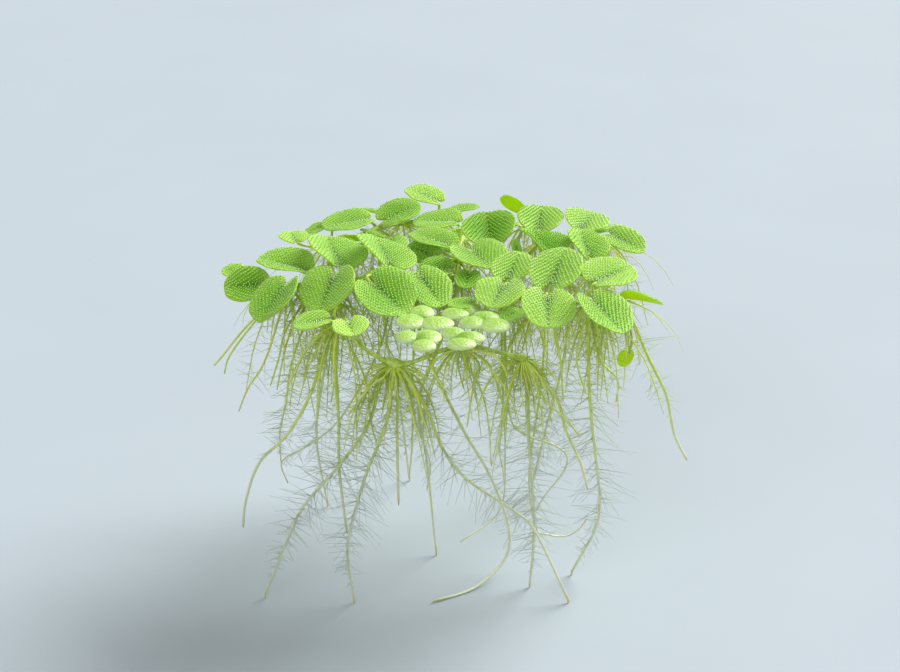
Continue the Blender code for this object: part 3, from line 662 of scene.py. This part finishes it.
def blade_point(x, y, leaf, waves):
    """Where the unit disc's point (x, y) lies on the folded heart-shaped blade."""
    reach = math.hypot(x, y)
    turn = math.atan2(x, y)
    cut = NOTCH * max(0.0, -y) ** 2 * math.exp(-((x / NOTCH_WIDTH) ** 2))
    cut += SLIT * max(0.0, -y) ** 3 * math.exp(-((x / SLIT_WIDTH) ** 2))
    along = (y + 1) / 2
    # Each half is steep beside the midrib and levels out towards the margin, less so on a leaf folded more
    curl = min(CURL, max(LEAST_CURL, CURL - CURL_LOSS * (leaf.fold - CURL_FOLD)))
    out = math.hypot(x, MIDRIB_ROUNDING) - MIDRIB_ROUNDING
    fold = math.tan(math.radians(leaf.fold)) * (1 - TIP_EASE * along)
    rise = leaf.width / 2 * fold * (out - curl * out * out) - DROOP * leaf.length * along * along
    # The margin waves a little, in and out and up and down
    ripple = WAVE * math.sin(3 * turn + waves[0]) + SMALL_WAVE * math.sin(7 * turn + waves[1])
    swell = 1 + reach**4 * ripple
    rise += leaf.width * reach**4 * WAVE * math.sin(4 * turn + waves[2])
    return Vector((x * swell * leaf.width / 2, (along * swell + cut - NOTCH) * leaf.length, rise))


def blade_frame(x, y, leaf, waves):
    """The blade's point at (x, y) and the direction that its upper side faces there."""
    step = 0.02
    here = blade_point(x, y, leaf, waves)
    across = blade_point(x + step, y, leaf, waves) - here
    ahead = blade_point(x, y + step, leaf, waves) - here
    return here, across.cross(ahead).normalized()


def row_at(x, y, leaf):
    """Which row of papillae runs through the disc's point (x, y); whole numbers are on a row."""
    forward = ROW_SLOPE * abs(x) * leaf.width / 2 * (1 + ROW_BEND * abs(x))
    return ((y + 1) * leaf.length / 2 - forward) / ROW_SPACING


def step_at(x, leaf):
    """How many papillae lie between the midrib and x along a row; whole numbers are on one in an even row."""
    return abs(x) * leaf.width / 2 / (PAPILLA_SPACING * OUTWARD) + FIRST_STEP


def blade_slab(leaf, waves):
    """A thin closed blade with a rounded margin, its base at the origin and its midrib along +Y."""
    half = leaf.width / 2
    thickness = BLADE_THICKNESS / half
    cells = 2 * max(6, round(leaf.width))
    bm = bmesh.new()
    bmesh.ops.create_grid(bm, x_segments=cells, y_segments=cells, size=1.0)
    # The square grid becomes a disc
    for vert in bm.verts:
        u, v = vert.co.x, vert.co.y
        vert.co = (u * math.sqrt(1 - v * v / 2), v * math.sqrt(1 - u * u / 2), thickness / 2)
    bmesh.ops.solidify(bm, geom=bm.faces[:], thickness=thickness)
    bmesh.ops.recalc_face_normals(bm, faces=bm.faces)
    for face in bm.faces:
        face.material_index = 1 if face.normal.z < -0.5 else 0
    rim = [e for e in bm.edges if {abs(f.normal.z) > 0.5 for f in e.link_faces} == {True, False}]
    rounding = RIM_ROUNDING * thickness
    bmesh.ops.bevel(bm, geom=rim, offset=rounding, segments=2, profile=0.5, affect="EDGES", material=-1)
    rib, edge, rows, steps = (bm.verts.layers.float.new(name) for name in ("rib", "edge", "rows", "steps"))
    for vert in bm.verts:
        x, y, height = vert.co
        vert[rib] = abs(x) + 0.15 * (y + 1)  # so that the painted shade in the crease above, and the paler keel below, narrow towards the tip
        vert[edge] = math.hypot(x, y)
        vert[rows] = row_at(x, y, leaf)
        vert[steps] = step_at(x, leaf)
        here, up = blade_frame(x, y, leaf, waves)
        vert.co = here + up * height * half
    return bm


def papilla_cone():
    """One papilla: a slim peg of height 1 with a rounded bead on it."""
    if "papilla" not in templates:
        bm = bmesh.new()
        upright = Matrix.Translation((0, 0, 0.4))
        bmesh.ops.create_cone(
            bm, segments=5, radius1=0.8, radius2=0.5, depth=0.8, cap_ends=True, matrix=upright
        )
        bead = Matrix.Translation((0, 0, 0.8)) @ Matrix.Diagonal((1, 1, 0.2, 1))
        bmesh.ops.create_icosphere(bm, subdivisions=1, radius=1.0, matrix=bead)
        along = bm.verts.layers.float.new("along")
        for vert in bm.verts:
            vert[along] = vert.co.z
        templates["papilla"] = mesh_of(bm, "papilla")
    return templates["papilla"]


def add_papillae(bm, leaf, waves, chance):
    """Rows of papillae that run from the midrib forward to the margin."""
    half = leaf.width / 2
    # The first rows start behind the base and run onto the lobes beside it
    rows = range(-round(1.4 * half / ROW_SPACING), round(leaf.length / ROW_SPACING))
    size = min(1.0, leaf.length / 9)  # papillae of full size from 9 mm on
    width = PAPILLA_RADIUS * (0.6 + 0.4 * size)
    for side in (-1, 1):
        for row in rows:
            for step in range(1, round(1.25 * half / PAPILLA_SPACING) + 1):
                steps = step - FIRST_STEP + 0.5 * (row % 2) + chance.uniform(-0.14, 0.14)
                x = steps * PAPILLA_SPACING * OUTWARD / half
                forward = ROW_SLOPE * x * half * (1 + ROW_BEND * x)
                y = (row * ROW_SPACING + forward) / (leaf.length / 2) - 1 + chance.uniform(-0.02, 0.02)
                reach = math.hypot(x, y)
                if reach > LAST_PAPILLA:
                    continue
                here, up = blade_frame(side * x, y, leaf, waves)
                # Each leans a little outwards and forwards
                out = 0.15 * side + chance.uniform(-0.12, 0.12)
                up = (up + Vector((out, 0.15 + chance.uniform(-0.12, 0.12), 0))).normalized()
                height = PAPILLA_HEIGHT * size * (1 - 0.5 * reach**8) * chance.uniform(0.8, 1.15)
                place = up.to_track_quat("Z", "Y").to_matrix().to_4x4()
                place.translation = here + up * (BLADE_THICKNESS / 2 - PAPILLA_SINK)
                cone = papilla_cone().copy()
                cone.transform(place @ Matrix.Diagonal((width, width, height + PAPILLA_SINK, 1)))
                join(bm, cone, 2)


def add_stalk(bm, leaf):
    """A bent stalk from the blade's base down to its whorl."""
    place = leaf_place(leaf)
    *whorl, _ = RUNNERS[leaf.runner][leaf.whorl]
    foot = place.inverted() @ Vector(whorl)
    start = Vector((0, STALK_START * leaf.length, 0.0))
    bend = Vector((0, -STALK_BEND * foot.length, 0))
    size = 0.55 + 0.45 * min(1.0, leaf.length / 10)  # stalks of full size from 10 mm on
    last = 8
    points, radii = [], []
    for i in range(last + 1):
        share = i / last
        points.append(start * (1 - share) ** 2 + bend * 2 * share * (1 - share) + foot * share**2)
        radii.append(size * (STALK_RADIUS + STALK_FLARE * abs(1 - 2 * share) ** 3))
    radii[0] *= 0.5
    tube = bmesh.new()
    add_tube(tube, points, radii, 8, 3)
    stalk = mesh_of(tube, "stalk")
    stalk.transform(place)
    bm.from_mesh(stalk)
    bpy.data.meshes.remove(stalk)


def add_leaf(bm, name, leaf):
    """A leaf with its papillae and its stalk, joined to bm."""
    chance = random.Random(name)
    waves = [chance.uniform(0, 2 * math.pi) for _ in range(3)]
    own = blade_slab(leaf, waves)
    own.verts.layers.float.new("along")
    add_papillae(own, leaf, waves, chance)
    blade = mesh_of(own, "blade")
    blade.transform(leaf_place(leaf))
    tone = blade.attributes.new("tone", "FLOAT", "POINT")
    pale = PALENESS.get(name, USUAL_PALENESS)
    tone.data.foreach_set("value", [pale] * len(blade.vertices))
    bm.from_mesh(blade)
    bpy.data.meshes.remove(blade)
    add_stalk(bm, leaf)


# Strands, stems and hairs, in millimetres: radii are those at the whorl and at the tip
STRAND_RADII = (0.38, 0.27)
THIN_RADII = (0.26, 0.18)
THREAD_RADII = (0.12, 0.05)
STRAND_START = 0.5  # from the middle of its whorl
HAIR_LENGTH = 10.5
THIN_HAIR_LENGTH = 7.0
TUFT_HAIR_LENGTH = 5.5
STEM_HAIR_LENGTH = 1.3
RUNNER_RADIUS = 0.44
SWELLING_SHARE = 0.7  # of the radius in the table
CROWN_RADIUS = 1.7  # a whorl with a larger swelling is a crown, with a fuller tuft
TUFT_TIP_RADIUS = 0.1
FROND_ROOT_RADII = (0.09, 0.05)

# A whorl's tuft: how many strands and finer threads, and a strand's radius at the whorl
Tuft = namedtuple("Tuft", "strands threads radius")
CROWN_TUFT = Tuft(16, 60, 0.24)
USUAL_TUFT = Tuft(10, 20, 0.2)

# The room that hairs and tufts may fill, in x, y and height
HAIR_ROOM = ((-45.5, 55.5), (-37.5, 40), (-ROOT_REACH + 0.3, 9))
TUFT_ROOM = ((-43, 53), (-35.5, 38), (-ROOT_REACH + 1, 9))


def root_points(root, steps):
    """The strand's centreline, from inside its whorl to its tip."""
    *whorl, _ = RUNNERS[root.runner][root.whorl]
    whorl = Vector(whorl)
    route = [Vector(point) for point in root.route]
    start = whorl + (route[0] - whorl).normalized() * STRAND_START
    stands = route[-1].z <= -ROOT_REACH
    if stands:
        route[-1].z += TOE_LENGTH
    points = smooth_route([start, *route], steps)
    if stands:
        points.append(points[-1] - Vector((0, 0, TOE_LENGTH)))
    return points


def add_strand(bm, points, thick, thin):
    """A slim root strand that is drawn in at both ends."""
    last = len(points) - 1
    radii = [thick + (thin - thick) * i / last for i in range(last + 1)]
    radii[0] *= 0.7
    radii[-1] *= 0.45
    add_tube(bm, points, radii, 7)


def inside(point):
    """Whether the point is inside the clump's own box and above the floor."""
    return all(low < value < high for value, (low, high) in zip(point, HAIR_ROOM))


def add_hairs(bm, points, hairs, longest, chance, per_mm=4.5, radius=0.06):
    """Fine hairs round a strand, longest along its middle. The hairier it is, the less of it is bare."""
    if not hairs:
        return
    frames = frames_along(points)
    last = len(points) - 1
    reach = 0.6 + 0.35 * min(1.0, hairs)
    # Half of their full length at the whorl, and none where the bare end begins
    for i in range(1, round(reach * last)):
        fullness = math.sin(math.pi * (0.12 + 0.88 * i / (reach * last))) ** 0.8
        side, up, ahead = frames[i]
        stretch = (points[i + 1] - points[i]).length
        count = stretch * per_mm * hairs
        for _ in range(int(count + chance.random())):
            turn = chance.uniform(0, 2 * math.pi)
            out = side * math.cos(turn) + up * math.sin(turn)
            root = points[i] + (points[i + 1] - points[i]) * chance.random()
            length = longest * fullness * chance.uniform(0.5, 1.0)
            out = (out + ahead * chance.uniform(0.15, 0.55)).normalized()
            curl = Vector((chance.uniform(-1, 1), chance.uniform(-1, 1), chance.uniform(-1.2, 0.4)))
            curl = curl * 0.04 * length
            middle = root + out * length * 0.5 + curl * 0.25
            tip = root + out * length + curl
            if inside(tip):
                add_tube(bm, [root, middle, tip], [radius, radius * 0.8, radius * 0.4], 3, 1)


def within(point):
    """The point kept inside the clump's own box."""
    return Vector([min(max(value, low), high) for value, (low, high) in zip(point, TUFT_ROOM)])


def build_leaves(materials):
    """A piece for each leaf that has a solid, and one for all the young ones."""
    for name, leaf in LEAVES.items():
        bm = bmesh.new()
        add_leaf(bm, name, leaf)
        finish_piece(name + "_blade", bm, materials, [name])
    bm = bmesh.new()
    for name, leaf in YOUNG_LEAVES.items():
        add_leaf(bm, name, leaf)
    finish_piece("young_leaves", bm, materials)


def build_runners(materials):
    """The floating stems, which swell at each whorl and have short hairs."""
    steps = 8
    for name, whorls in RUNNERS.items():
        chance = random.Random(name)
        points = smooth_route([Vector(w[:3]) for w in whorls], steps)
        radii = []
        for i in range(len(points)):
            nearest = whorls[round(i / steps)]
            # A swelling fades within about a step of the route
            away = abs(i / steps - round(i / steps)) * steps
            swelling = SWELLING_SHARE * nearest[3] - RUNNER_RADIUS
            radii.append(RUNNER_RADIUS + swelling * math.exp(-(away**2) / 0.9))
        # A rounded end past the first and the last whorl
        for end, inner, place in ((0, 1, 0), (-1, -2, len(points) + 1)):
            tip = points[end] + (points[end] - points[inner]).normalized() * 0.6 * radii[end]
            points.insert(place, tip)
            radii.insert(place, 0.5 * radii[end])
        bm = bmesh.new()
        add_tube(bm, points, radii, 10)
        add_hairs(bm, points, 1.0, STEM_HAIR_LENGTH, chance, per_mm=2.2, radius=0.035)
        finish_piece(name + "_stem", bm, materials, [name])


def build_roots(materials):
    """A piece for each main strand, and one for all the thinner ones."""
    for name, root in ROOTS.items():
        chance = random.Random(name)
        points = root_points(root, 10)
        bm = bmesh.new()
        add_strand(bm, points, *STRAND_RADII)
        add_hairs(bm, points, root.hairs, HAIR_LENGTH, chance)
        finish_piece(name + "_strand", bm, materials, [name])
    bm = bmesh.new()
    chance = random.Random("thin roots")
    for root in THIN_ROOTS:
        points = root_points(root, 8)
        add_strand(bm, points, *THIN_RADII)
        add_hairs(bm, points, root.hairs, THIN_HAIR_LENGTH, chance)
    finish_piece("thin_roots", bm, materials)


def tuft_strand(start, length, spread, chance):
    """A strand of a tuft: sideways out of the whorl, then hanging."""
    turn = chance.uniform(0, 2 * math.pi)
    way = Vector((math.cos(turn), 0.75 * math.sin(turn), 0)) * spread * length
    wander = Vector((chance.uniform(-2, 2), chance.uniform(-2, 2), 0))
    points = [
        start,
        start + way * 0.42 + Vector((0, 0, -0.16 * length)),
        start + way * 0.8 + wander * 0.3 + Vector((0, 0, -0.52 * length)),
        start + way + wander + Vector((0, 0, -length)),
    ]
    return smooth_route([within(p) for p in points], 5)


def build_tufts(materials):
    """The tuft of shorter strands that hangs from each whorl, with fine threads between them."""
    for runner, whorls in RUNNERS.items():
        chance = random.Random("tuft " + runner)
        bm = bmesh.new()
        for x, y, z, radius in whorls:
            start = Vector((x, y, z))
            tuft = CROWN_TUFT if radius > CROWN_RADIUS else USUAL_TUFT
            for _ in range(tuft.strands):
                points = tuft_strand(start, chance.uniform(8, 26), chance.uniform(0.15, 0.75), chance)
                add_strand(bm, points, tuft.radius, TUFT_TIP_RADIUS)
                add_hairs(bm, points, 1.0, TUFT_HAIR_LENGTH, chance, per_mm=2.2, radius=0.045)
            for _ in range(tuft.threads):
                points = tuft_strand(start, chance.uniform(3, 11), chance.uniform(0.4, 1.6), chance)
                add_strand(bm, points[::3], *THREAD_RADII)
        finish_piece(runner.replace("runner", "tuft"), bm, materials)


# The duckweed frond, in millimetres
FROND_RISE = 1.15  # above the level that it lies at
FROND_DEPTH = 0.46
FROND_KEEL = 0.12
FROND_SPREAD = 0.6  # half a frond as a share of its width, so wide that the fronds of a plant meet


def frond_lens(frond, middle):
    """One duckweed frond: a pillow with a faint keel."""
    bm = bmesh.new()
    bmesh.ops.create_uvsphere(bm, u_segments=28, v_segments=14, radius=1.0)
    edge, meet = (bm.verts.layers.float.new(name) for name in ("edge", "meet"))
    for vert in bm.verts:
        x, y, z = vert.co
        vert[edge] = math.hypot(x, y)
        narrow = 1 - 0.1 * x  # egg-shaped
        height = FROND_RISE if z > 0 else FROND_DEPTH
        keel = FROND_KEEL * math.exp(-((y / 0.2) ** 2)) if z > 0 else 0.0
        level = math.copysign(abs(z) ** 0.95, z) * height + keel * (1 - x * x) * z
        vert.co = (x * frond.length / 2, y * narrow * frond.width * FROND_SPREAD, level)
    bmesh.ops.rotate(bm, verts=bm.verts, matrix=Matrix.Rotation(math.radians(frond.heading), 3, "Z"))
    bmesh.ops.translate(bm, verts=bm.verts, vec=(frond.x, frond.y, 0))
    for vert in bm.verts:
        vert[meet] = math.exp(-(((vert.co.x - middle[0]) ** 2 + (vert.co.y - middle[1]) ** 2) / 2.5))
    return mesh_of(bm, "frond")


def build_duckweed(materials):
    """A piece for each plant: its fronds, and a thread-like root under each."""
    for name, fronds in DUCKWEED.items():
        chance = random.Random(name)
        middle = [sum(values) / len(fronds) for values in ([f.x for f in fronds], [f.y for f in fronds])]
        bm = bmesh.new()
        for frond in fronds:
            join(bm, frond_lens(frond, middle), 0)
            length = chance.uniform(6, 12)
            start = Vector((frond.x, frond.y, -0.3))
            drift = Vector((chance.uniform(-1.5, 1.5), chance.uniform(-1.0, 1.0), -length))
            points = smooth_route([start, start + drift * 0.5 + Vector((0.4, 0, 0)), start + drift], 5)
            thick, thin = FROND_ROOT_RADII
            add_tube(bm, points, [thick] * (len(points) - 1) + [thin], 5, 1)
        finish_piece(name + "_plant", bm, materials, [name])


def build_stage():
    """A pale floor, soft light from the back right and the front, and the camera."""
    bm = bmesh.new()
    bmesh.ops.create_grid(bm, x_segments=1, y_segments=1, size=8.0)  # so far out that no edge shows
    floor = bpy.data.objects.new("floor", mesh_of(bm, "floor"))
    floor.data.materials.append(floor_paint())
    bpy.context.scene.collection.objects.link(floor)

    world = bpy.data.worlds.new("studio")
    world.use_nodes = True
    world.node_tree.nodes["Background"].inputs["Color"].default_value = linear("#eef0ee")
    world.node_tree.nodes["Background"].inputs["Strength"].default_value = 0.4
    bpy.context.scene.world = world

    # Wide, soft lamps so far away that the whole floor is lit alike: direction, strength and apparent size
    lamps = {"key_right": ((0.62, 0.5, 0.7), 4.9, 40), "fill_front": ((-0.3, -0.6, 0.45), 1.0, 50)}
    for name, (place, strength, size) in lamps.items():
        lamp = bpy.data.lights.new(name, "SUN")
        lamp.energy = strength
        lamp.angle = math.radians(size)
        holder = bpy.data.objects.new(name, lamp)
        holder.location = place
        holder.rotation_euler = Vector(place).to_track_quat("Z", "Y").to_euler()
        bpy.context.scene.collection.objects.link(holder)

    # The camera looks down at 26 degrees
    camera = bpy.data.objects.new("camera", bpy.data.cameras.new("camera"))
    camera.data.lens = 75.0
    camera.data.sensor_width = 36.0
    camera.location = Vector((-2.23, -366.5, 229.6)) * MM
    camera.rotation_euler = (math.radians(64), 0, 0)
    bpy.context.scene.collection.objects.link(camera)
    bpy.context.scene.camera = camera
    bpy.context.scene.view_settings.view_transform = "Standard"


stem = green_stem()
leaf_materials = [leaf_upper(), leaf_lower(), papilla(), stem]
build_leaves(leaf_materials)
build_runners([stem, stem_hair()])
root_materials = [root_strand(), root_hair()]
build_roots(root_materials)
build_tufts(root_materials)
build_duckweed([frond_skin(), root_materials[1]])
build_stage()

for template in templates.values():
    bpy.data.meshes.remove(template)
